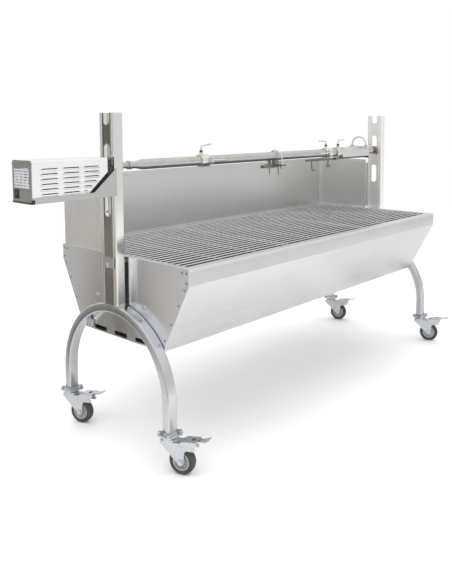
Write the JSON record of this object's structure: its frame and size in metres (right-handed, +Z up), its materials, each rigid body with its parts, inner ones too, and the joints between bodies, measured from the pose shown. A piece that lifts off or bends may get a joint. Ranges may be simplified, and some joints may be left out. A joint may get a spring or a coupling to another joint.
{
  "type": "rotisserie spit roaster",
  "caption": "Free-standing spit roaster: firebox on arch legs with braked casters, motor-driven spit between slotted posts, grates and a windscreen.",
  "frame": {"origin": "middle of the whole footprint, on the floor under the casters", "axes": "+X along the spit away from the motor, +Z up, the open front is -Y and the windscreen is +Y"},
  "size_m": [1.847, 0.6476, 0.988],
  "materials": {
    "stainless_sheet": "brushed",
    "stainless_bright": "bright brushed",
    "grate_steel": "satin",
    "charcoal_steel": "dull",
    "zinc_plate": "zinc plated",
    "chrome_rod": "polished",
    "fastener": "bright",
    "motor_end_grey": "satin",
    "black_paint": "satin",
    "black_plastic": "gloss",
    "bronze": "satin",
    "tyre_rubber": "matt",
    "hub_plastic": "matt",
    "gear_steel": "machined"
  },
  "bodies": {
    "stand": {"firebox_front_panel": "stainless_sheet", "firebox_back_panel": "stainless_sheet", "firebox_floor": "stainless_sheet", "end_panel_left": "stainless_sheet", "end_panel_right": "stainless_sheet", "charcoal_grate": "charcoal_steel", "windscreen_back": "stainless_sheet", "windscreen_wing_left": "stainless_sheet", "windscreen_wing_right": "stainless_sheet", "arch_leg_left": "stainless_bright", "arch_leg_right": "stainless_bright", "post_left": "stainless_bright", "post_right": "stainless_bright", "post_clamp_plates": "stainless_bright", "frame_bolts": "fastener", "panel_rivets": "fastener", "caster_plates": "zinc_plate", "motor_bracket": "stainless_bright", "motor_cover": "stainless_bright", "motor_end_plate": "motor_end_grey", "switch_bezel": "black_plastic", "gearbox_housing": "black_paint", "motor_body": "black_paint", "spit_bearing": "bronze"},
    "grate_left": {"cooking_grate_left": "grate_steel"},
    "grate_middle": {"cooking_grate_middle": "grate_steel"},
    "grate_right": {"cooking_grate_right": "grate_steel"},
    "spit": {"spit_rod": "chrome_rod", "drive_gear": "gear_steel"},
    "pinion": {"motor_pinion": "gear_steel"},
    "fork_left": {"fork_left": "chrome_rod"},
    "fork_left_screw": {"fork_left_screw": "chrome_rod"},
    "spine_brace": {"spine_brace_plate": "chrome_rod", "spine_ubolt": "chrome_rod"},
    "fork_right": {"fork_right": "chrome_rod"},
    "fork_right_screw": {"fork_right_screw": "chrome_rod"},
    "leg_bracket": {"leg_bracket": "chrome_rod", "leg_ubolt": "chrome_rod"},
    "leg_bracket_screw": {"leg_bracket_screw": "chrome_rod"},
    "rocker": {"switch_rocker": "black_plastic"},
    "caster_front_left": {"caster_fork_front_left": "zinc_plate", "caster_axle_front_left": "zinc_plate"},
    "wheel_front_left": {"caster_hub_front_left": "hub_plastic", "caster_tyre_front_left": "tyre_rubber"},
    "pedal_front_left": {"caster_brake_pedal_front_left": "zinc_plate"},
    "caster_back_left": {"caster_fork_back_left": "zinc_plate", "caster_axle_back_left": "zinc_plate"},
    "wheel_back_left": {"caster_hub_back_left": "hub_plastic", "caster_tyre_back_left": "tyre_rubber"},
    "pedal_back_left": {"caster_brake_pedal_back_left": "zinc_plate"},
    "caster_front_right": {"caster_fork_front_right": "zinc_plate", "caster_axle_front_right": "zinc_plate"},
    "wheel_front_right": {"caster_hub_front_right": "hub_plastic", "caster_tyre_front_right": "tyre_rubber"},
    "pedal_front_right": {"caster_brake_pedal_front_right": "zinc_plate"},
    "caster_back_right": {"caster_fork_back_right": "zinc_plate", "caster_axle_back_right": "zinc_plate"},
    "wheel_back_right": {"caster_hub_back_right": "hub_plastic", "caster_tyre_back_right": "tyre_rubber"},
    "pedal_back_right": {"caster_brake_pedal_back_right": "zinc_plate"}
  },
  "joints": [
    {"name": "grate_left_lift", "type": "slide", "parent": "stand", "child": "grate_left", "axis": [0, 0, 1], "range_m": [0, 0.15]},
    {"name": "grate_middle_lift", "type": "slide", "parent": "stand", "child": "grate_middle", "axis": [0, 0, 1], "range_m": [0, 0.15]},
    {"name": "grate_right_lift", "type": "slide", "parent": "stand", "child": "grate_right", "axis": [0, 0, 1], "range_m": [0, 0.15]},
    {"name": "spit_turn", "type": "hinge", "parent": "stand", "child": "spit", "pos_m": [0.11849, 0.02879, 0.8335], "axis": [1, 0, 0], "continuous": true},
    {"name": "pinion_turn", "type": "hinge", "parent": "stand", "child": "pinion", "pos_m": [-0.66451, 0.04679, 0.8095], "axis": [1, 0, 0], "continuous": true},
    {"name": "fork_left_slide", "type": "slide", "parent": "spit", "child": "fork_left", "axis": [1, 0, 0], "range_m": [-0.2, 0.1]},
    {"name": "fork_left_screw_turn", "type": "hinge", "parent": "fork_left", "child": "fork_left_screw", "pos_m": [-0.26551, 0.02879, 0.8635], "axis": [0, 0, 1], "range_deg": [0, 180]},
    {"name": "spine_brace_slide", "type": "slide", "parent": "spit", "child": "spine_brace", "axis": [1, 0, 0], "range_m": [-0.1, 0.1]},
    {"name": "fork_right_slide", "type": "slide", "parent": "spit", "child": "fork_right", "axis": [1, 0, 0], "range_m": [-0.1, 0.008]},
    {"name": "fork_right_screw_turn", "type": "hinge", "parent": "fork_right", "child": "fork_right_screw", "pos_m": [0.46549, 0.02879, 0.8635], "axis": [0, 0, 1], "range_deg": [0, 180]},
    {"name": "leg_bracket_slide", "type": "slide", "parent": "spit", "child": "leg_bracket", "axis": [1, 0, 0], "range_m": [-0.02, 0.04]},
    {"name": "leg_bracket_screw_turn", "type": "hinge", "parent": "leg_bracket", "child": "leg_bracket_screw", "pos_m": [0.55549, 0.02879, 0.8635], "axis": [0, 0, 1], "range_deg": [0, 180]},
    {"name": "switch_rocker_tilt", "type": "hinge", "parent": "stand", "child": "rocker", "pos_m": [-0.91651, 0.06379, 0.774], "axis": [0, 1, 0], "range_deg": [-16, 0]},
    {"name": "caster_front_left_swivel", "type": "hinge", "parent": "stand", "child": "caster_front_left", "pos_m": [-0.62951, -0.20521, 0.09], "axis": [0, 0, 1], "continuous": true},
    {"name": "wheel_front_left_roll", "type": "hinge", "parent": "caster_front_left", "child": "wheel_front_left", "pos_m": [-0.61651, -0.24092, 0.0375], "axis": [0.9397, 0.342, 0], "continuous": true},
    {"name": "brake_front_left_press", "type": "hinge", "parent": "caster_front_left", "child": "pedal_front_left", "pos_m": [-0.61583, -0.2428, 0.083], "axis": [0.9397, 0.342, 0], "range_deg": [0, 12]},
    {"name": "caster_back_left_swivel", "type": "hinge", "parent": "stand", "child": "caster_back_left", "pos_m": [-0.62951, 0.26279, 0.09], "axis": [0, 0, 1], "continuous": true},
    {"name": "wheel_back_left_roll", "type": "hinge", "parent": "caster_back_left", "child": "wheel_back_left", "pos_m": [-0.61651, 0.22708, 0.0375], "axis": [0.9397, 0.342, 0], "continuous": true},
    {"name": "brake_back_left_press", "type": "hinge", "parent": "caster_back_left", "child": "pedal_back_left", "pos_m": [-0.61583, 0.2252, 0.083], "axis": [0.9397, 0.342, 0], "range_deg": [0, 12]},
    {"name": "caster_front_right_swivel", "type": "hinge", "parent": "stand", "child": "caster_front_right", "pos_m": [0.86649, -0.20521, 0.09], "axis": [0, 0, 1], "continuous": true},
    {"name": "wheel_front_right_roll", "type": "hinge", "parent": "caster_front_right", "child": "wheel_front_right", "pos_m": [0.87949, -0.24092, 0.0375], "axis": [0.9397, 0.342, 0], "continuous": true},
    {"name": "brake_front_right_press", "type": "hinge", "parent": "caster_front_right", "child": "pedal_front_right", "pos_m": [0.88017, -0.2428, 0.083], "axis": [0.9397, 0.342, 0], "range_deg": [0, 12]},
    {"name": "caster_back_right_swivel", "type": "hinge", "parent": "stand", "child": "caster_back_right", "pos_m": [0.86649, 0.26279, 0.09], "axis": [0, 0, 1], "continuous": true},
    {"name": "wheel_back_right_roll", "type": "hinge", "parent": "caster_back_right", "child": "wheel_back_right", "pos_m": [0.87949, 0.22708, 0.0375], "axis": [0.9397, 0.342, 0], "continuous": true},
    {"name": "brake_back_right_press", "type": "hinge", "parent": "caster_back_right", "child": "pedal_back_right", "pos_m": [0.88017, 0.2252, 0.083], "axis": [0.9397, 0.342, 0], "range_deg": [0, 12]}
  ],
  "couplings": [
    {"joint": "pinion_turn", "follows": "spit_turn", "ratio": -2}
  ]
}
